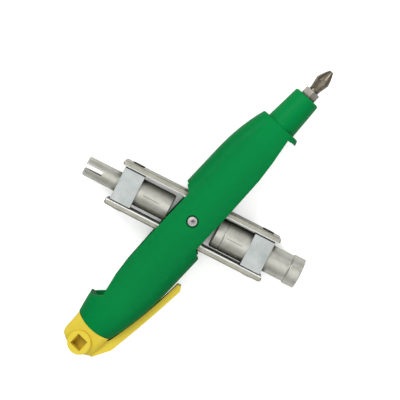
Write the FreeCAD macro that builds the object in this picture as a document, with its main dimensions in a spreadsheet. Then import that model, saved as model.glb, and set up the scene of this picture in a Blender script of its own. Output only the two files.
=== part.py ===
import FreeCAD, Part
import math
import os
import re

import Sketcher

# A folding multi utility key, in millimetres. The handle is a flat oval pen with a slot
# that is open to one side in each half. A carrier swings in the slot on the pivot rivet,
# and an insert with a key profile at either end turns over in each end of the carrier.
# The pivot is the Z axis and Z is 0 at the handle's rear land. +Y points to the bit.

# Driving sizes
SIZES = {
    # Handle
    "closed_wall": 1.8,
    "plate_thickness": 2.25,
    "bow_length": 20.9,
    "tip_wall": 2.1,
    "tip_half_width": 8.9,
    "tip_depth_drop": 2.05,
    "tip_slope_length": 13.6,
    "cap_wall": 9.1,
    "cap_joint_half_width": 8.0,
    "cap_depth_drop": 2.65,
    "cap_slope_length": 12.6,
    "joint_bulge": 1.7,
    "edge_round": 5.2,
    "flange_round": 0.9,
    "slot_clearance": 0.5,
    "slot_end_clearance": 0.35,
    "tip_end_clearance": 1.05,
    "rail_room_clearance": 0.6,
    "slot_corner_round": 1.5,
    "wall_clearance": 0.3,
    "stop_clearance": 0.35,
    "plate_half_width": 8.75,
    "plate_waist_half_width": 8.3,
    "waist_setback": 18.9,
    "plate_neck_half_width": 7.4,
    "neck_setback": 10.4,
    "finger_half_width": 5.8,
    "shoulder_half_width": 9.0,
    "shoulder_setback": 2.8,
    "flange_slant": 0.3,
    "plate_corner_setback": 2.7,
    # Nose and bit socket
    "nose_length": 15.5,
    "nose_root_radius": 6.5,
    "nose_end_radius": 5.75,
    "nose_round": 1.0,
    "hexagon_flats": 6.35,
    "socket_clearance": 0.1,
    "bit_length": 25.0,
    "bit_out": 14.0,
    "bit_hexagon_out": 3.3,
    "bit_neck_radius": 2.15,
    "bit_neck_length": 0.9,
    "bit_blade_radius": 3.05,
    "bit_blade_length": 4.5,
    "bit_point_radius": 0.85,
    "bit_point_bow": 22.0,
    "flute_back": 7.4,
    "flute_depth": 2.3,
    "flute_end_depth": 0.15,
    "flute_half_angle": 44.0,
    "bit_rear_chamfer": 0.7,
    "magnet_radius": 2.75,
    "magnet_length": 2.0,
    "magnet_gap": 0.05,
    "socket_floor_gap": 0.3,
    # Carrier
    "open_angle": 16.0,
    "carrier_half_length": 35.1,
    "carrier_half_width": 9.75,
    "carrier_half_height": 6.3,
    "rail_thickness": 2.4,
    "rail_end_round": 1.1,
    "hub_half_length": 6.5,
    "window_round": 2.2,
    "rail_edge_round": 0.6,
    "pin_setback": 6.0,
    "pin_radius": 1.5,
    "pin_head_radius": 2.5,
    "pin_head_height": 0.45,
    "running_clearance": 0.05,
    # Pivot
    "rivet_radius": 1.7,
    "rivet_head_radius": 1.95,
    "rivet_head_height": 0.75,
    "rivet_head_sunk": 0.15,
    "rivet_dimple_radius": 0.8,
    "rivet_dimple_depth": 0.5,
    "rivet_rear_radius": 3.2,
    "rivet_rear_height": 1.0,
    "recess_clearance": 0.6,
    "washer_radius": 4.2,
    "flat_washer_thickness": 0.5,
    "spring_washer_thickness": 0.3,
    "washer_gap": 0.1,
    # Inserts
    "insert_half_length": 19.0,
    "block_half_length": 4.4,
    "block_half_width": 6.95,
    "block_half_height": 6.5,
    "insert_end_chamfer": 0.5,
    "profile_depth": 12.0,
    "double_bit_radius": 4.12,
    "double_bit_bore_radius": 2.5,
    "double_bit_slot_length": 7.5,
    "double_bit_slot_half_width": 1.0,
    "small_square_radius": 5.7,
    "small_square": 6.0,
    "triangle_radius": 5.75,
    "triangle_band_radius": 6.3,
    "triangle_band_length": 5.4,
    "triangle_height": 7.5,
    "large_square_radius": 6.45,
    "large_square": 8.0,
    "collar_station": 15.1,
    "collar_groove": 0.25,
    # End cap
    "cap_length": 10.0,
    "cap_crown": 3.2,
    "cap_end_half_width": 7.8,
    "cap_corner_round": 3.0,
    "cap_end_half_depth": 3.0,
    "cap_edge_round": 2.6,
    "plug_length": 5.0,
    "plug_half_width": 5.4,
    "plug_half_depth": 4.2,
    "plug_clearance": 0.1,
    "boss_setback": 8.5,
    "boss_offset": 1.75,
    "boss_tilt": 15.0,
    "boss_tilt_axis": -74.0,
    "boss_radius": 4.9,
    "boss_height": 6.9,
    "boss_square": 5.1,
    "boss_square_depth": 5.5,
    "clip_half_height": 3.0,
    "clip_thickness": 2.7,
    "clip_gap": 0.85,
    "clip_length": 35.2,
    "clip_root_setback": 3.1,
    "clip_notch": 1.4,
    "clip_tip_inner": 13.2,
    "clip_inner_bow": 180.0,
    "clip_outer_bow": 500.0,
    "cut_margin": 5.0,
}

# Places that follow from the driving sizes, each as an expression of sizes and other places
PLACES = {
    "slot_half_height": "block_half_height + slot_clearance",
    "handle_half_depth": "slot_half_height + plate_thickness",
    "wall_inner": "carrier_half_width + pin_head_height + wall_clearance",
    "handle_half_width": "wall_inner + closed_wall",
    "wall_end": "carrier_half_width + stop_clearance",
    "pin_station": "carrier_half_length - pin_setback",
    "insert_end": "pin_station + insert_half_length",
    "cap_slot_end": "sqrt(insert_end^2 + small_square_radius^2) + slot_end_clearance",
    "tip_slot_end": "sqrt(insert_end^2 + large_square_radius^2) + tip_end_clearance",
    "rail_room": "carrier_half_length + rail_room_clearance",
    "straight_end": "cap_slot_end - bow_length",
    "plate_waist": "cap_slot_end - waist_setback",
    "plate_neck": "cap_slot_end - neck_setback",
    "tip_face": "tip_slot_end + tip_wall",
    "tip_half_depth": "handle_half_depth - tip_depth_drop",
    "tip_slope_start": "tip_face - tip_slope_length",
    "cap_joint": "cap_slot_end + cap_wall",
    "cap_joint_low": "cap_joint + joint_bulge",
    "joint_arc": "(cap_joint_half_width^2 + joint_bulge^2) / (2 * joint_bulge)",
    "cap_joint_half_depth": "handle_half_depth - cap_depth_drop",
    "cap_slope_start": "cap_joint - cap_slope_length",
    "nose_end": "tip_face + nose_length",
    "bit_rear": "nose_end + bit_out - bit_length",
    "socket_floor": "bit_rear - socket_floor_gap",
    "magnet_rear": "bit_rear - magnet_gap - magnet_length",
    "cap_end_straight": "cap_joint + cap_length",
    "cap_end": "cap_end_straight + cap_crown",
    "clip_root": "cap_joint + clip_root_setback",
    "clip_tip": "cap_joint - clip_length",
    "outside": "handle_half_width + cut_margin",
}

doc = FreeCAD.newDocument("multi_utility_key")
sheet = doc.addObject("Spreadsheet::Sheet", "Sizes")
for row, (alias, value) in enumerate(SIZES.items(), start=1):
    sheet.set("A%d" % row, alias)
    sheet.set("B%d" % row, str(value))
    sheet.setAlias("B%d" % row, alias)
doc.recompute()


def bind(expression):
    """An expression with the sheet named before each size, and each place written out in sizes."""
    def written(word):
        if word[0] in PLACES:
            return "(" + bind(PLACES[word[0]]) + ")"
        return "Sizes." + word[0] if word[0] in SIZES else word[0]
    return re.sub(r"[a-z_]+", written, expression)


def number(expression):
    """The present value of an expression of sizes."""
    return float(sheet.evalExpression(bind(expression)))


def new_body(label):
    """A sub-part of its own."""
    body = doc.addObject("PartDesign::Body", label)
    body.Label = label
    return body


def origin_plane(body, role):
    """One of the body's own origin planes."""
    return [item for item in body.Origin.OriginFeatures if item.Role == role][0]


def new_sketch(body, role, name, height="0"):
    """A sketch on an origin plane, raised by a height along its normal."""
    sketch = body.newObject("Sketcher::SketchObject", name)
    sketch.AttachmentSupport = [(origin_plane(body, role), "")]
    sketch.MapMode = "FlatFace"
    if height != "0":
        sketch.setExpression("AttachmentOffset.Base.z", bind(height))
    return sketch


def pin_point(sketch, geometry, end, corner):
    """Fix one point of a sketch at a corner given as two expressions."""
    for kind, expression in zip(("DistanceX", "DistanceY"), corner):
        value = number(expression)
        index = sketch.addConstraint(Sketcher.Constraint(kind, -1, 1, geometry, end, value))
        sketch.setExpression("Constraints[%d]" % index, bind(expression))


def arc_between(start, finish, radius, hollow):
    """An arc of a given radius that bulges to the right of the way from start to finish, or to
    the left where it is hollow."""
    chord = finish - start
    middle = (start + finish) * 0.5
    height = max(radius * radius - chord.Length * chord.Length / 4, 0) ** 0.5
    left = FreeCAD.Vector(-chord.y, chord.x, 0)
    left.normalize()
    if hollow:
        left = left * -1
    centre = middle + left * height
    top = centre - left * radius
    return Part.Arc(start, top, finish)


def outline(sketch, corners, arcs=None, hollows=()):
    """A closed outline through the corners, counterclockwise. An edge whose number is in arcs
    is an arc of that radius, outward unless its number is in hollows. The others are straight."""
    arcs = arcs or {}
    points = [FreeCAD.Vector(number(x), number(y), 0) for x, y in corners]
    for index, corner in enumerate(corners):
        start = points[index]
        finish = points[(index + 1) % len(points)]
        if index in arcs:
            edge = sketch.addGeometry(arc_between(start, finish, number(arcs[index]), index in hollows))
            first, last = (2, 1) if index in hollows else (1, 2)
            pin_point(sketch, edge, first, corner)
            pin_point(sketch, edge, last, corners[(index + 1) % len(corners)])
            radius = sketch.addConstraint(Sketcher.Constraint("Radius", edge, number(arcs[index])))
            sketch.setExpression("Constraints[%d]" % radius, bind(arcs[index]))
        else:
            edge = sketch.addGeometry(Part.LineSegment(start, finish))
            pin_point(sketch, edge, 1, corner)
            pin_point(sketch, edge, 2, corners[(index + 1) % len(corners)])


def circle(sketch, x, y, radius):
    """A circle whose centre and radius are expressions."""
    centre = FreeCAD.Vector(number(x), number(y), 0)
    edge = sketch.addGeometry(Part.Circle(centre, FreeCAD.Vector(0, 0, 1), number(radius)))
    pin_point(sketch, edge, 3, (x, y))
    index = sketch.addConstraint(Sketcher.Constraint("Radius", edge, number(radius)))
    sketch.setExpression("Constraints[%d]" % index, bind(radius))


def box_corners(left, right, low, high):
    """The corners of a rectangle."""
    return [(left, low), (right, low), (right, high), (left, high)]


def feature(body, kind, name, sketch, **settings):
    """A feature made from a sketch. A setting given as text is an expression."""
    made = body.newObject("PartDesign::" + kind, name)
    made.Profile = sketch
    for key, value in settings.items():
        if isinstance(value, str) and key in ("Length", "Length2", "TaperAngle"):
            made.setExpression(key, bind(value))
        else:
            setattr(made, key, value)
    sketch.Visibility = False
    return made


def pad(body, name, sketch, length, both_ways=False, back=False):
    """Material added along the sketch's normal, against it, or half each way."""
    return feature(body, "Pad", name, sketch, Length=length, Midplane=both_ways, Reversed=back)


def cut(body, name, sketch, length, both_ways=False, back=False):
    """Material taken away against the sketch's normal, along it (back), or half each way."""
    before = body.Tip.Shape.Volume
    made = feature(body, "Pocket", name, sketch, Length=length, Midplane=both_ways, Reversed=back)
    doc.recompute()
    if not made.Shape.Volume < before:
        raise RuntimeError(name + " takes nothing away")
    return made


def turn(body, name, sketch, axis, taken=False):
    """A full turn of a sketch about one of its own axes, added or taken away."""
    made = body.newObject("PartDesign::" + ("Groove" if taken else "Revolution"), name)
    made.Profile = sketch
    made.ReferenceAxis = (sketch, [axis])
    made.Angle = 360
    sketch.Visibility = False
    doc.recompute()
    return made


def dress(body, kind, name, base, chosen, setting, size):
    """A fillet or chamfer on the edges of a feature that a test chooses."""
    doc.recompute()
    names = ["Edge%d" % (index + 1) for index, edge in enumerate(base.Shape.Edges) if chosen(edge)]
    if not names:
        raise RuntimeError(name + " finds no edge")
    made = body.newObject("PartDesign::" + kind, name)
    made.Base = (base, names)
    made.setExpression(setting, bind(size))
    doc.recompute()
    return made


def middle_of(edge):
    """The point halfway along an edge."""
    return edge.valueAt((edge.FirstParameter + edge.LastParameter) / 2)


def place(body, x="0", y="0", z="handle_half_depth", angle=None):
    """The sub-part's place, with a turn about Z."""
    if angle:
        body.Placement = FreeCAD.Placement(
            FreeCAD.Vector(0, 0, 0), FreeCAD.Rotation(FreeCAD.Vector(0, 0, 1), number(angle)))
        body.setExpression("Placement.Rotation.Angle", bind(angle))
    for axis, expression in zip("xyz", (x, y, z)):
        if expression != "0":
            body.setExpression("Placement.Base." + axis, bind(expression))


def make_handle():
    """The handle: a barrel-shaped moulding with a round nose, slotted from side to side."""
    body = new_body("handle_body")
    plan = new_sketch(body, "XY_Plane", "handle_plan")
    tip_arc = "((tip_face - straight_end)^2 + (handle_half_width - tip_half_width)^2)" \
              " / (2 * (handle_half_width - tip_half_width))"
    cap_arc = "((cap_joint_low - straight_end)^2 + (handle_half_width - cap_joint_half_width)^2)" \
              " / (2 * (handle_half_width - cap_joint_half_width))"
    outline(plan, [("-cap_joint_half_width", "-cap_joint_low"), ("cap_joint_half_width", "-cap_joint_low"),
                   ("handle_half_width", "-straight_end"),
                   ("handle_half_width", "straight_end"), ("tip_half_width", "tip_face"),
                   ("-tip_half_width", "tip_face"), ("-handle_half_width", "straight_end"),
                   ("-handle_half_width", "-straight_end")],
            {1: cap_arc, 3: tip_arc, 5: tip_arc, 7: cap_arc})
    barrel = pad(body, "barrel", plan, "2 * handle_half_depth", both_ways=True)
    doc.recompute()

    # Both ends slope down in side view, above and below.
    tip_slope = "((tip_face - tip_slope_start)^2 + (handle_half_depth - tip_half_depth)^2)" \
                " / (2 * (handle_half_depth - tip_half_depth))"
    cap_slope = "((cap_joint_low - cap_slope_start)^2 + (handle_half_depth - cap_joint_half_depth)^2)" \
                " / (2 * (handle_half_depth - cap_joint_half_depth))"
    side = new_sketch(body, "YZ_Plane", "handle_side")
    outline(side, box_corners("-(cap_joint_low + cut_margin)", "tip_face + cut_margin",
                              "-(handle_half_depth + cut_margin)", "handle_half_depth + cut_margin"))
    outline(side, [("-cap_joint_low", "-cap_joint_half_depth"), ("-cap_slope_start", "-handle_half_depth"),
                   ("tip_slope_start", "-handle_half_depth"), ("tip_face", "-tip_half_depth"),
                   ("tip_face", "tip_half_depth"), ("tip_slope_start", "handle_half_depth"),
                   ("-cap_slope_start", "handle_half_depth"), ("-cap_joint_low", "cap_joint_half_depth")],
            {0: cap_slope, 2: tip_slope, 4: tip_slope, 6: cap_slope})
    sloped = cut(body, "end_slopes", side, "4 * handle_half_width", both_ways=True)

    def long_edge(edge):
        point = middle_of(edge)
        along = abs(edge.Vertexes[0].Point.y - edge.Vertexes[-1].Point.y)
        return abs(point.x) > number("cap_joint_half_width") and along > 5 and abs(point.z) > 5
    rounded = dress(body, "Fillet", "long_edges", sloped, long_edge, "Radius", "edge_round")

    def flange_edge(edge):
        return all(abs(vertex.Point.y - number("tip_face")) < 0.01 for vertex in edge.Vertexes)
    dress(body, "Fillet", "flange_edge", rounded, flange_edge, "Radius", "flange_round")
    cut_at_joint(body, "joint_end", "-(cap_joint_low + cut_margin)")

    nose = new_sketch(body, "YZ_Plane", "nose_profile")
    outline(nose, [("tip_slot_end", "0"), ("nose_end", "0"), ("nose_end", "nose_end_radius - nose_round"),
                   ("nose_end - nose_round", "nose_end_radius"), ("tip_face", "nose_root_radius"),
                   ("tip_slot_end", "nose_root_radius")], {2: "nose_round"})
    turn(body, "nose", nose, "H_Axis")

    # The slot in plan: open to -X in the cap half and to +X in the tip half, with room for
    # the rails in the middle and for the folded inserts' round shanks beyond them.
    room = new_sketch(body, "XY_Plane", "slot_plan")
    outline(room, [("-outside", "-cap_slot_end"), ("0", "-cap_slot_end"), ("0", "-rail_room"),
                   ("wall_inner", "-rail_room"), ("wall_inner", "-wall_end"),
                   ("outside", "-wall_end"), ("outside", "tip_slot_end"), ("0", "tip_slot_end"),
                   ("0", "rail_room"), ("-wall_inner", "rail_room"), ("-wall_inner", "wall_end"),
                   ("-outside", "wall_end")])
    slot = cut(body, "slot", room, "2 * slot_half_height", both_ways=True)

    def slot_corner(edge):
        point = middle_of(edge)
        return abs(abs(point.z) - number("slot_half_height")) < 0.01 and \
            abs(abs(point.x) - number("wall_inner")) < 0.01
    dress(body, "Fillet", "slot_corners", slot, slot_corner, "Radius", "slot_corner_round")
    trough = new_sketch(body, "XZ_Plane", "shank_trough", height="cap_slot_end")
    circle(trough, "0", "0", "slot_half_height")
    cut(body, "shank_trough", trough, "cap_slot_end + tip_slot_end")

    # The plates are cut back on the open side of each half. A finger hollow and a slanted
    # shoulder end the cut at the cap, and the flange's back face ends it at the nose.
    plates = new_sketch(body, "XY_Plane", "plate_edges")
    for sign, end, inner, across in (("-", "cap_slot_end", "cap_slot_end - shoulder_setback",
                                      "shoulder_half_width"),
                                     ("", "tip_slot_end", "tip_slot_end - flange_slant",
                                      "tip_half_width")):
        steps = [("plate_half_width", "-(wall_end - plate_corner_setback)"),
                 ("handle_half_width + wall_clearance", "-wall_end"), ("outside", "-wall_end"),
                 ("outside", end), (across, end), ("finger_half_width", inner),
                 ("plate_neck_half_width", "plate_neck"), ("plate_waist_half_width", "plate_waist"),
                 ("plate_half_width", "plate_waist / 3")]
        outline(plates, [("%s(%s)" % (sign, x), "%s(%s)" % (sign, y)) for x, y in steps])
    cut(body, "plate_cuts", plates, "4 * handle_half_depth", both_ways=True)

    # The pivot hole, with a small recess in front and a wider one behind.
    hole = new_sketch(body, "XZ_Plane", "pivot_hole")
    front = "rivet_head_radius + recess_clearance"
    rear = "rivet_rear_radius + plug_clearance"
    front_floor = "handle_half_depth - rivet_head_sunk - rivet_head_height"
    outline(hole, [("0", "-handle_half_depth - cut_margin"), (rear, "-handle_half_depth - cut_margin"),
                   (rear, "-handle_half_depth + rivet_rear_height"),
                   ("rivet_radius", "-handle_half_depth + rivet_rear_height"),
                   ("rivet_radius", front_floor), (front, front_floor),
                   (front, "handle_half_depth + cut_margin"), ("0", "handle_half_depth + cut_margin")])
    turn(body, "pivot_hole", hole, "V_Axis", taken=True)

    # The hexagon socket in the nose, with the magnet's round seat at its bottom.
    mouth = new_sketch(body, "XZ_Plane", "bit_socket", height="-nose_end")
    hexagon(mouth, "hexagon_flats / 2 + socket_clearance")
    cut(body, "bit_socket", mouth, "nose_end - socket_floor", back=True)
    seat = new_sketch(body, "XZ_Plane", "magnet_seat", height="-socket_floor")
    circle(seat, "0", "0", "magnet_radius")
    cut(body, "magnet_seat", seat, "socket_floor - magnet_rear", back=True)

    # The cap's plug goes in here.
    plug = new_sketch(body, "XZ_Plane", "plug_seat", height="cap_joint_low")
    outline(plug, box_corners("-(plug_half_width + plug_clearance)", "plug_half_width + plug_clearance",
                              "-(plug_half_depth + plug_clearance)", "plug_half_depth + plug_clearance"))
    cut(body, "plug_seat", plug, "joint_bulge + plug_length + plug_clearance")
    place(body)


def cut_at_joint(body, name, far):
    """Cut a piece off along the curved joint of handle and cap, out to a far line."""
    curve = new_sketch(body, "XY_Plane", name)
    reach = "(cap_joint_half_width + closed_wall)"
    start = "-(cap_joint_low - joint_arc + sqrt(joint_arc^2 - %s^2))" % reach
    outline(curve, [("-" + reach, start), (reach, start), (reach, far), ("-" + reach, far)],
            {0: "joint_arc"})
    cut(body, name, curve, "4 * handle_half_depth", both_ways=True)


def hexagon(sketch, inradius):
    """A hexagon about the origin, with a flat at either side."""
    half_side = "(%s) / sqrt(3)" % inradius
    whole_side = "2 * (%s) / sqrt(3)" % inradius
    across = "(%s)" % inradius
    outline(sketch, [("0", "-" + whole_side), (across, "-" + half_side), (across, half_side),
                     ("0", whole_side), ("-" + across, half_side), ("-" + across, "-" + half_side)])


def make_carrier():
    """The carrier: two rails joined by a hub, with the inserts' windows open at the ends."""
    body = new_body("key_carrier")
    plan = new_sketch(body, "XY_Plane", "carrier_plan")
    inner = "(carrier_half_width - rail_thickness)"
    corners = [("-carrier_half_length", "-carrier_half_width"), ("carrier_half_length", "-carrier_half_width"),
               ("carrier_half_length", "-" + inner), ("hub_half_length", "-" + inner),
               ("hub_half_length", inner), ("carrier_half_length", inner),
               ("carrier_half_length", "carrier_half_width"), ("-carrier_half_length", "carrier_half_width"),
               ("-carrier_half_length", inner), ("-hub_half_length", inner),
               ("-hub_half_length", "-" + inner), ("-carrier_half_length", "-" + inner)]
    outline(plan, corners)
    frame = pad(body, "frame", plan, "2 * carrier_half_height", both_ways=True)

    def upright_at(edge, station):
        ends = [vertex.Point for vertex in edge.Vertexes]
        return abs(ends[0].z - ends[-1].z) > 1 and abs(abs(ends[0].x) - number(station)) < 0.01
    windows = dress(body, "Fillet", "window_corners", frame,
                    lambda edge: upright_at(edge, "hub_half_length"), "Radius", "window_round")
    ends = dress(body, "Fillet", "rail_ends", windows,
                 lambda edge: upright_at(edge, "carrier_half_length"), "Radius", "rail_end_round")

    def face_edge(edge):
        return all(abs(abs(vertex.Point.z) - number("carrier_half_height")) < 0.01 for vertex in edge.Vertexes)
    dress(body, "Fillet", "rail_edges", ends, face_edge, "Radius", "rail_edge_round")

    pivot = new_sketch(body, "XY_Plane", "pivot_bore")
    circle(pivot, "0", "0", "rivet_radius + running_clearance")
    cut(body, "pivot_bore", pivot, "4 * carrier_half_height", both_ways=True)
    holes = new_sketch(body, "XZ_Plane", "pin_holes")
    circle(holes, "pin_station", "0", "pin_radius")
    circle(holes, "-pin_station", "0", "pin_radius")
    cut(body, "pin_holes", holes, "4 * carrier_half_width", both_ways=True)
    place(body, angle="open_angle")


def make_cross_pin(label, way):
    """A cross pin with a flat head on either rail."""
    body = new_body(label)
    half = new_sketch(body, "YZ_Plane", label + "_profile")
    outline(half, [("-(carrier_half_width + pin_head_height)", "0"),
                   ("carrier_half_width + pin_head_height", "0"),
                   ("carrier_half_width + pin_head_height", "pin_head_radius"),
                   ("carrier_half_width", "pin_head_radius"), ("carrier_half_width", "pin_radius"),
                   ("-carrier_half_width", "pin_radius"), ("-carrier_half_width", "pin_head_radius"),
                   ("-(carrier_half_width + pin_head_height)", "pin_head_radius")])
    turn(body, label + "_turned", half, "H_Axis")
    place(body, x=way + "pin_station * cos(open_angle)", y=way + "pin_station * sin(open_angle)",
          angle="open_angle")


def start_insert(label, outer_radius, inner_radius):
    """The common part of an insert: a block between two round shanks, with the pin's hole."""
    body = new_body(label)
    block = new_sketch(body, "XY_Plane", label + "_block")
    outline(block, box_corners("-block_half_length", "block_half_length",
                               "-block_half_width", "block_half_width"))
    pad(body, label + "_block", block, "2 * block_half_height", both_ways=True)
    for name, radius, back in (("outer", outer_radius, False), ("inner", inner_radius, True)):
        shank = new_sketch(body, "YZ_Plane", "%s_%s_shank" % (label, name))
        circle(shank, "0", "0", radius)
        pad(body, "%s_%s" % (label, name), shank, "insert_half_length", back=back)

    def end_rim(edge):
        ends = [vertex.Point for vertex in edge.Vertexes]
        return all(abs(abs(point.x) - number("insert_half_length")) < 0.01 for point in ends)
    dress(body, "Chamfer", label + "_rims", body.Tip, end_rim, "Size", "insert_end_chamfer")
    hole = new_sketch(body, "XZ_Plane", label + "_pin_hole")
    circle(hole, "0", "0", "pin_radius + running_clearance")
    cut(body, label + "_pin_hole", hole, "4 * block_half_width", both_ways=True)
    return body


def square_socket(body, name, across):
    """A square socket in the inner end of an insert."""
    mouth = new_sketch(body, "YZ_Plane", name, height="-insert_half_length")
    half = "%s / 2" % across
    outline(mouth, box_corners("-" + half, half, "-" + half, half))
    cut(body, name, mouth, "profile_depth", back=True)


def make_double_bit_insert():
    """The insert with a double-bit key outside and a small square key inside."""
    body = start_insert("double_bit_insert", "double_bit_radius", "small_square_radius")
    bore = new_sketch(body, "YZ_Plane", "double_bit_bore", height="insert_half_length")
    circle(bore, "0", "0", "double_bit_bore_radius")
    cut(body, "double_bit_bore", bore, "profile_depth")
    ways = new_sketch(body, "XY_Plane", "double_bit_slots")
    outline(ways, box_corners("insert_half_length - double_bit_slot_length", "insert_half_length + 1",
                              "-double_bit_slot_half_width", "double_bit_slot_half_width"))
    cut(body, "double_bit_slots", ways, "4 * double_bit_radius", both_ways=True)
    square_socket(body, "small_square_socket", "small_square")
    place(body, x="-pin_station * cos(open_angle)", y="-pin_station * sin(open_angle)",
          angle="open_angle + 180")


def make_triangle_insert():
    """The insert with a triangle key outside and a large square key inside."""
    body = start_insert("triangle_insert", "triangle_radius", "large_square_radius")
    band = new_sketch(body, "XY_Plane", "triangle_band")
    band_start = "insert_half_length - triangle_band_length"
    band_step = "(triangle_band_radius - triangle_radius)"
    outline(band, [(band_start, "0"), ("insert_half_length", "0"),
                   ("insert_half_length", "triangle_band_radius - insert_end_chamfer"),
                   ("insert_half_length - insert_end_chamfer", "triangle_band_radius"),
                   (band_start + " + " + band_step, "triangle_band_radius"),
                   (band_start, "triangle_radius")], {2: "insert_end_chamfer"})
    turn(body, "triangle_band", band, "H_Axis")
    mouth = new_sketch(body, "YZ_Plane", "triangle_socket", height="insert_half_length")
    half_side = "triangle_height / sqrt(3)"
    outline(mouth, [("-" + half_side, "-triangle_height / 3"), (half_side, "-triangle_height / 3"),
                    ("0", "2 * triangle_height / 3")])
    cut(body, "triangle_socket", mouth, "profile_depth")
    square_socket(body, "large_square_socket", "large_square")
    ring = new_sketch(body, "XY_Plane", "collar_line")
    outline(ring, [("-(collar_station + collar_groove)", "large_square_radius"),
                   ("-collar_station", "large_square_radius - collar_groove"),
                   ("-(collar_station - collar_groove)", "large_square_radius")])
    turn(body, "collar_line", ring, "H_Axis", taken=True)
    place(body, x="pin_station * cos(open_angle)", y="pin_station * sin(open_angle)", angle="open_angle")


def make_pivot():
    """The rivet with its dimpled front head, and the two washers beside the hub."""
    rivet = new_body("pivot_rivet")
    half = new_sketch(rivet, "XZ_Plane", "rivet_profile")
    top = "handle_half_depth - rivet_head_sunk"
    under = "handle_half_depth - rivet_head_sunk - rivet_head_height"
    rear = "-handle_half_depth + rivet_rear_height"
    outline(half, [("0", "-handle_half_depth"), ("rivet_rear_radius", "-handle_half_depth"),
                   ("rivet_rear_radius", rear), ("rivet_radius", rear), ("rivet_radius", under),
                   ("rivet_head_radius", under), ("rivet_head_radius", top + " - rivet_head_height / 3"),
                   ("rivet_dimple_radius", top), ("0", top + " - rivet_dimple_depth")])
    turn(rivet, "rivet_turned", half, "V_Axis")
    place(rivet)

    inner = "rivet_radius + 2 * running_clearance"
    flat = new_body("flat_washer")
    ring = new_sketch(flat, "XZ_Plane", "flat_washer_profile")
    outline(ring, box_corners(inner, "washer_radius", "-slot_half_height",
                              "-slot_half_height + flat_washer_thickness"))
    turn(flat, "flat_washer_turned", ring, "V_Axis")
    place(flat)

    spring = new_body("spring_washer")
    cone = new_sketch(spring, "XZ_Plane", "spring_washer_profile")
    low = "carrier_half_height + washer_gap"
    outline(cone, [(inner, "slot_half_height - spring_washer_thickness"), ("washer_radius", low),
                   ("washer_radius", low + " + spring_washer_thickness"), (inner, "slot_half_height")])
    turn(spring, "spring_washer_turned", cone, "V_Axis")
    place(spring)


def make_bit():
    """The hexagon bit with a cross tip, and the magnet behind it."""
    body = new_body("screwdriver_bit")
    shank = new_sketch(body, "XZ_Plane", "bit_hexagon", height="-bit_rear")
    hexagon(shank, "hexagon_flats / 2")
    shaft = pad(body, "bit_hexagon", shank, "bit_length - bit_out + bit_hexagon_out", back=True)

    def rear_edge(edge):
        return all(abs(vertex.Point.y - number("bit_rear")) < 0.01 for vertex in edge.Vertexes)
    dress(body, "Chamfer", "bit_rear", shaft, rear_edge, "Size", "bit_rear_chamfer")

    neck = "nose_end + bit_hexagon_out"
    point = "nose_end + bit_out"
    blade = new_sketch(body, "YZ_Plane", "bit_blade")
    outline(blade, [(neck + " - 1", "0"), (point, "0"), (point, "bit_point_radius"),
                    (neck + " + bit_neck_length + bit_blade_length", "bit_blade_radius"),
                    (neck + " + bit_neck_length", "bit_neck_radius"), (neck + " - 1", "bit_neck_radius")],
            {2: "bit_point_bow"})
    turned = turn(body, "bit_blade", blade, "H_Axis")

    # One of the four flutes, deepest at the point, repeated about the bit.
    back = new_sketch(body, "XZ_Plane", "flute_back", height="-(%s - flute_back)" % point)
    outline(back, flute_corners("bit_blade_radius - flute_end_depth"))
    front = new_sketch(body, "XZ_Plane", "flute_front", height="-(%s + 0.1)" % point)
    outline(front, flute_corners("bit_blade_radius - flute_depth"))
    flute = body.newObject("PartDesign::SubtractiveLoft", "flute")
    flute.Profile = back
    flute.Sections = [front]
    flute.Ruled = True
    doc.recompute()
    around = body.newObject("PartDesign::PolarPattern", "flutes")
    around.Originals = [flute]
    around.Axis = ([item for item in body.Origin.OriginFeatures if item.Role == "Y_Axis"][0], [""])
    around.Angle = 360
    around.Occurrences = 4
    body.Tip = around
    doc.recompute()
    if not around.Shape.Volume < turned.Shape.Volume:
        raise RuntimeError("the flutes take nothing away")
    place(body)

    magnet = new_body("bit_magnet")
    disc = new_sketch(magnet, "XZ_Plane", "magnet_disc", height="-magnet_rear")
    circle(disc, "0", "0", "magnet_radius")
    pad(magnet, "magnet_disc", disc, "magnet_length", back=True)
    place(magnet)


def flute_corners(root):
    """A flute's triangular section, on the diagonal between two wings."""
    reach = "(bit_blade_radius + 1)"
    across = "((%s - (%s)) * tan(flute_half_angle))" % (reach, root)
    return [("(%s) * cos(45)" % root, "(%s) * sin(45)" % root),
            ("(%s + %s) * cos(45)" % (reach, across), "(%s - %s) * sin(45)" % (reach, across)),
            ("(%s - %s) * cos(45)" % (reach, across), "(%s + %s) * sin(45)" % (reach, across))]


def tilted_sketch(body, name, x, y, z):
    """A sketch square to the boss's axis, with its centre at a place."""
    sketch = new_sketch(body, "XY_Plane", name)
    turn_axis = math.radians(number("boss_tilt_axis"))
    sketch.AttachmentOffset = FreeCAD.Placement(
        FreeCAD.Vector(0, 0, 0),
        FreeCAD.Rotation(FreeCAD.Vector(math.cos(turn_axis), math.sin(turn_axis), 0), number("boss_tilt")))
    sketch.setExpression("AttachmentOffset.Rotation.Angle", bind("boss_tilt"))
    for axis, expression in zip("xyz", (x, y, z)):
        sketch.setExpression("AttachmentOffset.Base." + axis, bind(expression))
    return sketch


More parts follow.
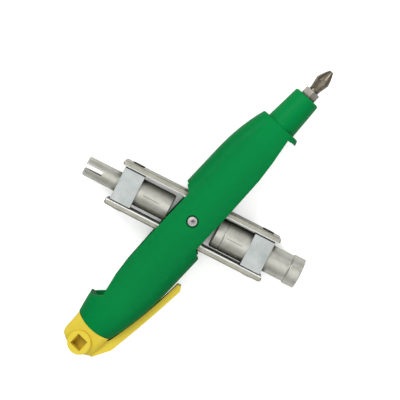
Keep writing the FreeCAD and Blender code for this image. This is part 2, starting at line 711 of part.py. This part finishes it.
def make_cap():
    """The end cap: a rounded end with a clip along one side and a boss with a square recess."""
    body = new_body("end_cap")
    plan = new_sketch(body, "XY_Plane", "cap_plan")
    crown = "(cap_end_half_width^2 + cap_crown^2) / (2 * cap_crown)"
    cap_top = "-(cap_joint - cut_margin / 2)"
    outline(plan, [("-cap_end_half_width", "-cap_end_straight"), ("cap_end_half_width", "-cap_end_straight"),
                   ("cap_joint_half_width", cap_top), ("-cap_joint_half_width", cap_top)], {0: crown})
    plain = pad(body, "cap_block", plan, "2 * cap_joint_half_depth", both_ways=True)
    doc.recompute()

    def free_corner(edge):
        point = middle_of(edge)
        return abs(point.x + number("cap_end_half_width")) < 0.01 and abs(point.z) < 0.01
    dress(body, "Fillet", "cap_corner", plain, free_corner, "Radius", "cap_corner_round")
    side = new_sketch(body, "YZ_Plane", "cap_side")
    outline(side, box_corners("-(cap_end + cut_margin)", "-(cap_joint - cut_margin)",
                              "-(cap_joint_half_depth + cut_margin)", "cap_joint_half_depth + cut_margin"))
    slope = "((cap_end - cap_joint)^2 + (cap_joint_half_depth - cap_end_half_depth)^2)" \
            " / (1.1 * (cap_joint_half_depth - cap_end_half_depth))"
    outline(side, [("-cap_end", "-cap_end_half_depth"), ("-cap_joint", "-cap_joint_half_depth"),
                   (cap_top, "-cap_joint_half_depth"), (cap_top, "cap_joint_half_depth"),
                   ("-cap_joint", "cap_joint_half_depth"),
                   ("-cap_end", "cap_end_half_depth")], {0: slope, 4: slope})
    sloped = cut(body, "cap_slopes", side, "4 * cap_joint_half_width", both_ways=True)

    def outer_edge(edge):
        ends = [vertex.Point for vertex in edge.Vertexes]
        upright = abs(ends[0].z - ends[-1].z) > 2 * number("cap_end_half_depth") - 0.5 and \
            abs(ends[0].x - ends[-1].x) < 0.01 and abs(ends[0].y - ends[-1].y) < 0.01
        at_top = all(abs(end.y - number(cap_top)) < 0.01 for end in ends)
        across_top = abs(middle_of(edge).x) < 0.01 and middle_of(edge).y > -number("cap_end_straight") \
            and abs(ends[0].y - ends[-1].y) < 0.01
        return not at_top and not upright and not across_top
    dress(body, "Fillet", "cap_edges", sloped, outer_edge, "Radius", "cap_edge_round")
    cut_at_joint(body, "joint_face", "-(cap_joint - cut_margin)")

    plug = new_sketch(body, "XZ_Plane", "plug", height="cap_joint_low + 1")
    outline(plug, box_corners("-plug_half_width", "plug_half_width", "-plug_half_depth", "plug_half_depth"))
    pad(body, "plug", plug, "joint_bulge + plug_length + 1", back=True)

    boss = tilted_sketch(body, "boss", "boss_offset", "-(cap_joint + boss_setback)", "0")
    circle(boss, "0", "0", "boss_radius")
    pad(body, "boss", boss, "boss_height")

    # The clip springs from the cap's side and runs along the closed wall.
    clip = new_sketch(body, "XY_Plane", "clip_plan")
    root_inner = "cap_joint_half_width + clip_gap"
    outline(clip, [("cap_end_half_width - 2", "-(cap_joint + clip_notch)"),
                   ("cap_end_half_width - 2", "-cap_end_straight"),
                   ("cap_end_half_width", "-(cap_end_straight + 0.6)"),
                   (root_inner + " + clip_thickness + 0.4", "-clip_root"),
                   ("clip_tip_inner + clip_thickness", "-(clip_tip + 1.8)"),
                   ("clip_tip_inner + clip_thickness - 1.2", "-clip_tip"),
                   ("clip_tip_inner", "-(clip_tip + 0.5)"),
                   (root_inner, "-cap_joint"), (root_inner + " - 0.6", "-(cap_joint + clip_notch)")],
            {3: "clip_outer_bow", 6: "clip_inner_bow"}, hollows=(6,))
    pad(body, "clip", clip, "2 * clip_half_height", both_ways=True)
    doc.recompute()

    recess = tilted_sketch(body, "boss_recess", "boss_offset + boss_height * sin(boss_tilt) * sin(boss_tilt_axis)",
                           "-(cap_joint + boss_setback) - boss_height * sin(boss_tilt) * cos(boss_tilt_axis)",
                           "boss_height * cos(boss_tilt)")
    outline(recess, box_corners("-boss_square / 2", "boss_square / 2", "-boss_square / 2", "boss_square / 2"))
    cut(body, "boss_recess", recess, "boss_square_depth")
    place(body)


make_handle()
make_carrier()
make_cross_pin("double_bit_pin", "-")
make_cross_pin("triangle_pin", "")
make_double_bit_insert()
make_triangle_insert()
make_pivot()
make_bit()
make_cap()
doc.recompute()

faults = [item.Name for item in doc.Objects if "Invalid" in item.State or "Error" in item.State]
bodies = [item for item in doc.Objects if item.TypeId == "PartDesign::Body"]
faults += [item.Label for item in bodies if item.Shape.isNull() or not item.Shape.isValid()]
if faults:
    raise RuntimeError("failed: " + ", ".join(faults))

os.makedirs("parts", exist_ok=True)
for item in bodies:
    item.Shape.exportStep(os.path.join("parts", item.Label + ".step"))
    print(item.Label, len(item.Shape.Solids), round(item.Shape.Volume, 1))
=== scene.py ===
import math

import bpy
from mathutils import Matrix, Vector

# The looks of a folding multi utility key that lies on its back on a white floor, in
# metres. +Y points to the screwdriver bit, the carrier lies across and the cap is at -Y.

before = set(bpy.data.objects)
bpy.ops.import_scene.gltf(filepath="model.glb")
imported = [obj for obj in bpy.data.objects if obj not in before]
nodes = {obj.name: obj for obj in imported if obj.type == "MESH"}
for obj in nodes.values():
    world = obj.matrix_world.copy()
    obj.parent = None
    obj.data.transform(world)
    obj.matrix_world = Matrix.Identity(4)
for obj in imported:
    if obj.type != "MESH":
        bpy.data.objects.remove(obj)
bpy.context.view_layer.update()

# Camera, fitted to the photograph's viewing angle
SENSOR_MM = 36.0
LENS_MM = 171.9
CAMERA_PLACE = Vector((-0.034174, 0.059040, 0.773697))
CAMERA_RIGHT = Vector((0.73044, 0.68278, -0.01631))
CAMERA_UP = Vector((-0.68179, 0.72756, -0.07632))
CAMERA_NEAR = 0.01
CAMERA_FAR = 20.0

# Lamps: place, size in metres and power in watts; all aim at the pivot
TOP_LAMP = ((0.05, -0.05, 1.15), 1.00, 2.4)
KEY_LAMP = ((-0.55, 0.25, 0.75), 0.45, 4.3)
FILL_LAMP = ((0.45, -0.35, 0.60), 0.60, 0.6)
BACK_LAMP = ((0.20, 0.70, 0.50), 0.35, 1.0)
WORLD_LEVEL = 0.50
FLOOR_HALF = 3.0
FLOOR_PLACE = -0.0001
FLOOR_ALBEDO = 0.86
FLOOR_CAMERA_LIFT = 0.55
FLOOR_SHADOW_REACH = 0.012

# The carrier at rest: its turn, its mid height, and along it the pin, a block's half
# length about the pin, the parting line on a key's inner shank and where the ends begin
CARRIER_TURN = math.radians(16.0)
MIDDLE = 0.00925
PIN_PLACE = 0.0291
BLOCK_HALF = 0.0045
PARTING_LINE = (0.0150, 0.0222)
CARRIER_NEAR_END = 0.030

# A rail's painted highlight along its inner edge: across it from the inner wall, and its height
# above the middle
HIGHLIGHT_ACROSS = (-0.0001, 0.0005)
HIGHLIGHT_HEIGHT = (0.0052, 0.0056)

# Where the bit's hexagon ends, and how far the brightest line of the handle's painted side shade
# lies off its middle
HEXAGON_END = 0.0705
HEXAGON_FADE = 0.0006
BRIGHT_LINE = 0.002

# Distances from a moulding's brightest line between which its sides grow deeper in tone, as
# painted shade
HANDLE_SIDE_SHADE = (0.002, 0.014)
CAP_SIDE_SHADE = (0.03, 0.04)

# Tones in screen values from 0 to 255: main, deep (also the painted side shade), pale and corner
# (painted corner shade), or low and high
GREENS = ((0, 131, 63), (0, 98, 48), (0, 134, 66), (0, 60, 30))
YELLOWS = ((222, 199, 62), (215, 191, 55), (229, 209, 78), (200, 156, 44))
SHANK_TONES = ((170, 170, 159), (196, 196, 187))
BLOCK_TONES = ((160, 165, 163), (184, 189, 188))
RAIL_SHADED_TONES = ((146, 145, 132), (170, 169, 157))
HEXAGON_TONES = ((164, 160, 150), (184, 181, 172))
BLADE_TONES = ((106, 98, 84), (148, 140, 124))
KEY_CORNER_SHADE = (126, 125, 113)
RAIL_CORNER_SHADE = (100, 98, 82)
RAIL_EDGE_HIGHLIGHT = (244, 246, 244)
PARTING_TONE = (84, 82, 72)
FLUTE_SHADE = (36, 31, 24)
RIVET_SPOT = (122, 104, 114)
RIVET_HEAD = (184, 180, 179)
RIVET_RIM_SHADE = (66, 78, 68)
# Pins and magnet: main, dark and corner tones, the corner tone being painted shade
PIN_TONES = ((92, 90, 84), (60, 58, 54), (30, 30, 28))
MAGNET_TONES = ((200, 200, 198), (170, 170, 168), (90, 90, 88))

# Noise, in cells for each metre
FLOW = 38.0
CLOUD = 150.0
SCUFF = 160.0
STAIN = 240.0
DULLNESS = 260.0
BIT_STAIN = 300.0
MOTTLE = 420.0
BRUSH = 900.0
SCRATCH = 1100.0
BIT_GRAIN = 1800.0
RIVET_GRAIN = 2400.0
ZINC_GRAIN = 2600.0
PLASTIC_GRAIN = 5200.0

# Bump depth and the rounding of edges in the shading, both in metres
PLASTIC_RELIEF = (0.00003, 0.00015)
ZINC_RELIEF = (0.00002, 0.0003)
STEEL_RELIEF = (0.00002, 0.0002)
BIT_RELIEF = (0.00001, 0.00015)
BUMP_STRENGTH = 0.4

# How far the painted shade of a corner reaches, in metres, and the samples that read it
PLASTIC_REACH = 0.004
ZINC_REACH = 0.003
STEEL_REACH = 0.0015
CORNER_SAMPLES = 8
EDGE_SAMPLES = 6

# Roughness
PLASTIC_ROUGH = 0.42
PIN_ROUGH = 0.35
MAGNET_ROUGH = 0.2
BIT_ROUGH = 0.28
RIVET_ROUGH = 0.5

# The rivet head's darker centre spot, its shift off the middle, and its rim in painted shade, in
# metres
CENTRE_SHIFT = (-0.0002, -0.0002, 0.0)
CENTRE_RADII = (0.0004, 0.0012)
RIM_RADII = (0.00180, 0.00205)

ZINC_METALLIC = 0.74
# Metallic where the rails' painted highlight lies
HIGHLIGHT_METALLIC = 0.2


def linear(red, green, blue):
    """A colour given in screen values from 0 to 255, as Blender's linear one."""
    channels = []
    for value in (red, green, blue):
        share = value / 255
        channels.append(share / 12.92 if share <= 0.04045 else ((share + 0.055) / 1.055) ** 2.4)
    return (*channels, 1.0)


class Nodes:
    """A material's node tree with short calls to fill it."""

    def __init__(self, name):
        self.material = bpy.data.materials.new(name)
        self.material.use_nodes = True
        self.tree = self.material.node_tree
        self.shader = self.tree.nodes["Principled BSDF"]
        self.place = self.add("ShaderNodeTexCoord").outputs["Object"]

    def add(self, kind, **inputs):
        node = self.tree.nodes.new(kind)
        for key, value in inputs.items():
            self.put(node.inputs[key.replace("_", " ")], value)
        return node

    def put(self, socket, value):
        if isinstance(value, bpy.types.NodeSocket):
            self.tree.links.new(value, socket)
        else:
            socket.default_value = value

    def noise(self, scale, detail=3.0, roughness=0.5, stretch=(1, 1, 1)):
        """Noise with its values about 0.5; scale is in cells for each metre."""
        mapping = self.add("ShaderNodeMapping", Vector=self.place, Scale=stretch)
        node = self.add("ShaderNodeTexNoise", Vector=mapping.outputs[0], Scale=scale,
                        Detail=detail, Roughness=roughness)
        return node.outputs["Fac"]

    def ramp(self, value, low, high, out_low=0.0, out_high=1.0):
        """A value carried from one range to another, held at the ends."""
        node = self.add("ShaderNodeMapRange", Value=value, From_Min=low, From_Max=high,
                        To_Min=out_low, To_Max=out_high)
        return node.outputs[0]

    def band(self, value, low, high, soft):
        """One between two limits and zero outside them, with soft ends."""
        rise = self.ramp(value, low - soft, low + soft)
        fall = self.ramp(value, high - soft, high + soft, 1.0, 0.0)
        return self.times(rise, fall)

    def mix(self, share, first, second):
        """A colour between two."""
        node = self.tree.nodes.new("ShaderNodeMix")
        node.data_type = "RGBA"
        self.put(node.inputs[0], share)
        self.put(node.inputs[6], first)
        self.put(node.inputs[7], second)
        return node.outputs[2]

    def sum(self, first, second, operation="ADD"):
        node = self.tree.nodes.new("ShaderNodeMath")
        node.operation = operation
        self.put(node.inputs[0], first)
        self.put(node.inputs[1], second)
        return node.outputs[0]

    def times(self, first, second):
        return self.sum(first, second, "MULTIPLY")

    def size_of(self, value):
        return self.sum(value, 0.0, "ABSOLUTE")

    def ways(self):
        """The place in the piece's own X, Y and Z."""
        return self.add("ShaderNodeSeparateXYZ", Vector=self.place).outputs

    def radius(self, shift):
        """Distance from the pivot's upright axis, moved by a shift."""
        flat = self.add("ShaderNodeMapping", Vector=self.place, Location=shift, Scale=(1, 1, 0))
        node = self.add("ShaderNodeVectorMath", Vector=flat.outputs[0])
        node.operation = "LENGTH"
        return node.outputs["Value"]

    def carrier_axes(self):
        """Distances along, across and above the carrier from its middle."""
        turned = self.add("ShaderNodeVectorRotate", Vector=self.place, Angle=-CARRIER_TURN)
        turned.rotation_type = "Z_AXIS"
        ways = self.add("ShaderNodeSeparateXYZ", Vector=turned.outputs[0]).outputs
        height = self.sum(ways[2], MIDDLE, "SUBTRACT")
        return self.size_of(ways[0]), self.size_of(ways[1]), self.size_of(height)

    def open_share(self, reach, low, high):
        """Open space about a point: 0 in a tight corner and 1 on a free face."""
        node = self.add("ShaderNodeAmbientOcclusion", Distance=reach)
        node.samples = CORNER_SAMPLES
        return self.ramp(node.outputs["AO"], low, high)

    def bump(self, height, depth, edge):
        """Bump from a height between 0 and 1 over softly rounded edges, in metres."""
        rounded = self.add("ShaderNodeBevel", Radius=edge)
        rounded.samples = EDGE_SAMPLES
        node = self.add("ShaderNodeBump", Height=height, Normal=rounded.outputs[0],
                        Strength=BUMP_STRENGTH, Distance=depth)
        self.put(self.shader.inputs["Normal"], node.outputs[0])

    def finish(self, colour, roughness, **fixed):
        self.put(self.shader.inputs["Base Color"], colour)
        self.put(self.shader.inputs["Roughness"], roughness)
        for key, value in fixed.items():
            self.shader.inputs[key.replace("_", " ")].default_value = value
        return self.material


def moulded_plastic(name, tones, sides, rough, shine):
    """Satin moulded plastic in its main, deep, pale and corner tones, with painted shade: deep
    at the sides and the corner tone in tight corners.
    """
    n = Nodes(name)
    main, deep, pale, corner = [linear(*tone) for tone in tones]
    flow = n.ramp(n.noise(FLOW, 2.0, stretch=(1.0, 0.45, 1.0)), 0.3, 0.7, 0.6, 1.0)
    # Painted shade: the sides grow deeper in tone away from the brightest line.
    painted_light_share = n.ramp(n.size_of(n.sum(n.ways()[0], BRIGHT_LINE)), *sides, 1.0, 0.1)
    grain = n.noise(PLASTIC_GRAIN, 2.0, 0.6)
    mottle = n.ramp(n.noise(MOTTLE, 4.0, 0.6), 0.35, 0.68)
    tone = n.mix(n.times(flow, painted_light_share), deep, main)
    tone = n.mix(n.times(mottle, 0.28), tone, pale)
    # Painted shade: the corner tone fills tight corners and gaps.
    colour = n.mix(n.open_share(PLASTIC_REACH, 0.15, 0.7), corner, tone)
    scuff = n.noise(SCUFF, 5.0, 0.65, stretch=(1.0, 0.25, 1.0))
    n.bump(n.sum(grain, n.times(mottle, 0.5)), *PLASTIC_RELIEF)
    dull = n.sum(n.ramp(scuff, 0.4, 0.75, 0.0, 0.12), rough)
    return n.finish(colour, dull, Specular_IOR_Level=shine)


def zinc_tone(n, low, high):
    """Clouded grey of a tumbled casting with faint scratches."""
    cloud = n.ramp(n.noise(CLOUD, 5.0, 0.65), 0.32, 0.7)
    scratch = n.ramp(n.noise(SCRATCH, 4.0, 0.7, stretch=(0.5, 1.0, 1.0)), 0.3, 0.5, 0.75, 1.0)
    return n.mix(n.times(cloud, scratch), linear(*low), linear(*high))


def zinc_finish(n, colour):
    """Soft satin shine over the casting's grain."""
    rough = n.ramp(n.noise(DULLNESS, 4.0, 0.6), 0.3, 0.7, 0.29, 0.40)
    n.bump(n.noise(ZINC_GRAIN, 3.0, 0.6), *ZINC_RELIEF)
    return n.finish(colour, rough, Metallic=ZINC_METALLIC)


def key_zinc():
    """Cast keys: cooler blocks, warmer shanks, painted shade in tight corners and a short
    parting line on the inner ones.
    """
    n = Nodes("key_zinc")
    along, across, _ = n.carrier_axes()
    block = n.band(along, PIN_PLACE - BLOCK_HALF, PIN_PLACE + BLOCK_HALF, 0.00015)
    warm = zinc_tone(n, *SHANK_TONES)
    cool = zinc_tone(n, *BLOCK_TONES)
    tone = n.mix(block, warm, cool)
    # Painted shade: the corner tone fills tight corners and the gaps between the keys.
    tone = n.mix(n.open_share(ZINC_REACH, 0.2, 0.75), linear(*KEY_CORNER_SHADE), tone)
    thin = n.ramp(across, 0.00008, 0.0002, 1.0, 0.0)
    line = n.times(n.band(along, *PARTING_LINE, 0.0003), thin)
    return zinc_finish(n, n.mix(n.times(line, 0.65), tone, linear(*PARTING_TONE)))


def carrier_zinc():
    """Cast carrier: warm grey rails kept darker as painted shade, painted shade in tight corners
    and painted highlights along the inner edges.
    """
    n = Nodes("carrier_zinc")
    _, across, height = n.carrier_axes()
    spin = Matrix.Rotation(-CARRIER_TURN, 3, "Z")
    places = [spin @ corner.co for corner in nodes["key_carrier"].data.vertices]
    inner = min(abs(place.y) for place in places if abs(place.x) > CARRIER_NEAR_END)
    # The rails' warm grey is kept darker than the keys' zinc as painted shade.
    tone = zinc_tone(n, *RAIL_SHADED_TONES)
    # Painted shade in the carrier's tight corners.
    tone = n.mix(n.open_share(ZINC_REACH, 0.25, 0.85), linear(*RAIL_CORNER_SHADE), tone)
    # Painted highlight along the rails' inner top edges.
    near = n.band(across, inner + HIGHLIGHT_ACROSS[0], inner + HIGHLIGHT_ACROSS[1], 0.0001)
    edge = n.times(near, n.ramp(height, *HIGHLIGHT_HEIGHT))
    material = zinc_finish(n, n.mix(edge, tone, linear(*RAIL_EDGE_HIGHLIGHT)))
    # The painted highlight is less metallic so that it stays bright on every slope.
    n.put(n.shader.inputs["Metallic"], n.ramp(edge, 0.0, 1.0, ZINC_METALLIC, HIGHLIGHT_METALLIC))
    return material


def turned_steel(name, tones, rough):
    """Plated steel in its main, dark and corner tones, the corner tone as painted shade in tight
    places, with fine brush marks.
    """
    n = Nodes(name)
    main, dark, corner = [linear(*tone) for tone in tones]
    brush = n.ramp(n.noise(BRUSH, 3.0, 0.6, stretch=(4.0, 0.3, 4.0)), 0.3, 0.7)
    stain = n.ramp(n.noise(STAIN, 4.0, 0.65), 0.4, 0.75)
    colour = n.mix(n.times(stain, 0.6), main, dark)
    # Painted shade: the corner tone fills tight places.
    colour = n.mix(n.open_share(STEEL_REACH, 0.4, 0.95), corner, colour)
    n.bump(brush, *STEEL_RELIEF)
    return n.finish(colour, n.sum(n.times(brush, 0.12), rough), Metallic=1.0)


def bit_finish():
    """Bit with a paler hexagon, a darker blade and painted shade in its flutes and other tight
    places.
    """
    n = Nodes("bit_steel")
    blade_share = n.ramp(n.ways()[1], HEXAGON_END, HEXAGON_END + HEXAGON_FADE)
    stain = n.ramp(n.noise(BIT_STAIN, 4.0, 0.65), 0.35, 0.7)
    hexagon = n.mix(stain, *[linear(*tone) for tone in HEXAGON_TONES])
    blade = n.mix(stain, *[linear(*tone) for tone in BLADE_TONES])
    tone = n.mix(blade_share, hexagon, blade)
    n.bump(n.noise(BIT_GRAIN, 3.0, 0.6), *BIT_RELIEF)
    # Painted shade: the flute tone fills the flutes and other tight places.
    colour = n.mix(n.open_share(STEEL_REACH, 0.5, 0.97), linear(*FLUTE_SHADE), tone)
    return n.finish(colour, BIT_ROUGH, Metallic=0.95)


def rivet_steel():
    """Pale rivet head with a darker centre spot a little off its middle, and a rim in painted
    shade.
    """
    n = Nodes("rivet_steel")
    spot = n.ramp(n.radius(CENTRE_SHIFT), *CENTRE_RADII)
    # Painted shade on the head's rim.
    rim = n.ramp(n.radius((0.0, 0.0, 0.0)), *RIM_RADII)
    head = n.mix(spot, linear(*RIVET_SPOT), linear(*RIVET_HEAD))
    n.bump(n.noise(RIVET_GRAIN, 3.0, 0.6), *STEEL_RELIEF)
    return n.finish(n.mix(rim, head, linear(*RIVET_RIM_SHADE)), RIVET_ROUGH, Metallic=0.6)


def dress(slot_name, material, *names):
    """Give CAD nodes their finish."""
    for name in names:
        piece = nodes[name]
        for place in piece.material_slots:
            place.material = material


def make_floor():
    """A white floor that brightens the background but keeps the key's shadow, with painted
    shadow close around the key.
    """
    mesh = bpy.data.meshes.new("floor")
    ways = ((-1, -1), (1, -1), (1, 1), (-1, 1))
    corners = [(x * FLOOR_HALF, y * FLOOR_HALF, FLOOR_PLACE) for x, y in ways]
    mesh.from_pydata(corners, [], [(0, 1, 2, 3)])
    floor = bpy.data.objects.new("floor", mesh)
    bpy.context.scene.collection.objects.link(floor)
    n = Nodes("floor_white")
    white = (FLOOR_ALBEDO, FLOOR_ALBEDO, FLOOR_ALBEDO, 1.0)
    n.finish(white, 0.9, Specular_IOR_Level=0.0, Emission_Color=(1, 1, 1, 1))
    rays = n.add("ShaderNodeLightPath")
    # Painted shadow: the floor's lift fades in tight places near the key.
    lift = n.times(n.open_share(FLOOR_SHADOW_REACH, 0.1, 0.45), FLOOR_CAMERA_LIFT)
    glow = n.times(rays.outputs["Is Camera Ray"], lift)
    n.put(n.shader.inputs["Emission Strength"], glow)
    mesh.materials.append(n.material)


def make_world():
    """White to the camera, and softer to light the key."""
    world = bpy.data.worlds.new("studio")
    bpy.context.scene.world = world
    world.use_nodes = True
    tree = world.node_tree
    background = tree.nodes["Background"]
    background.inputs["Color"].default_value = (1, 1, 1, 1)
    rays = tree.nodes.new("ShaderNodeLightPath")
    seen = tree.nodes.new("ShaderNodeMapRange")
    tree.links.new(rays.outputs["Is Camera Ray"], seen.inputs["Value"])
    seen.inputs["To Min"].default_value = WORLD_LEVEL
    tree.links.new(seen.outputs[0], background.inputs["Strength"])


def make_lamp(name, place, size, power):
    lamp = bpy.data.lights.new(name, "AREA")
    lamp.shape = "DISK"
    lamp.size = size
    lamp.energy = power
    holder = bpy.data.objects.new(name, lamp)
    holder.location = place
    aim = Vector((0, 0, 0)) - Vector(place)
    holder.rotation_euler = aim.to_track_quat("-Z", "Y").to_euler()
    bpy.context.scene.collection.objects.link(holder)


def make_camera():
    camera = bpy.data.cameras.new("camera")
    camera.sensor_width = SENSOR_MM
    camera.lens = LENS_MM
    camera.clip_start = CAMERA_NEAR
    camera.clip_end = CAMERA_FAR
    holder = bpy.data.objects.new("camera", camera)
    bpy.context.scene.collection.objects.link(holder)
    right = CAMERA_RIGHT.normalized()
    back = right.cross(CAMERA_UP).normalized()
    up = back.cross(right)
    turn = Matrix((right, up, back)).transposed().to_4x4()
    holder.matrix_world = Matrix.Translation(CAMERA_PLACE) @ turn
    bpy.context.scene.camera = holder


green = moulded_plastic("green_plastic", GREENS, HANDLE_SIDE_SHADE, PLASTIC_ROUGH, 0.05)
yellow = moulded_plastic("yellow_plastic", YELLOWS, CAP_SIDE_SHADE, PLASTIC_ROUGH, 0.2)
pin_steel = turned_steel("pin_steel", PIN_TONES, PIN_ROUGH)
magnet = turned_steel("magnet", MAGNET_TONES, MAGNET_ROUGH)

dress("green_plastic", green, "handle_body")
dress("yellow_plastic", yellow, "end_cap")
dress("zinc_casting", key_zinc(), "double_bit_insert", "triangle_insert")
dress("zinc_casting", carrier_zinc(), "key_carrier")
dress("pin_steel", rivet_steel(), "pivot_rivet")
dress("pin_steel", pin_steel, "double_bit_pin", "triangle_pin", "flat_washer", "spring_washer")
dress("bit_steel", bit_finish(), "screwdriver_bit")
dress("magnet", magnet, "bit_magnet")

make_floor()
make_world()
make_lamp("top_lamp", *TOP_LAMP)
make_lamp("key_lamp", *KEY_LAMP)
make_lamp("fill_lamp", *FILL_LAMP)
make_lamp("back_lamp", *BACK_LAMP)
make_camera()
bpy.context.scene.view_settings.view_transform = "Standard"
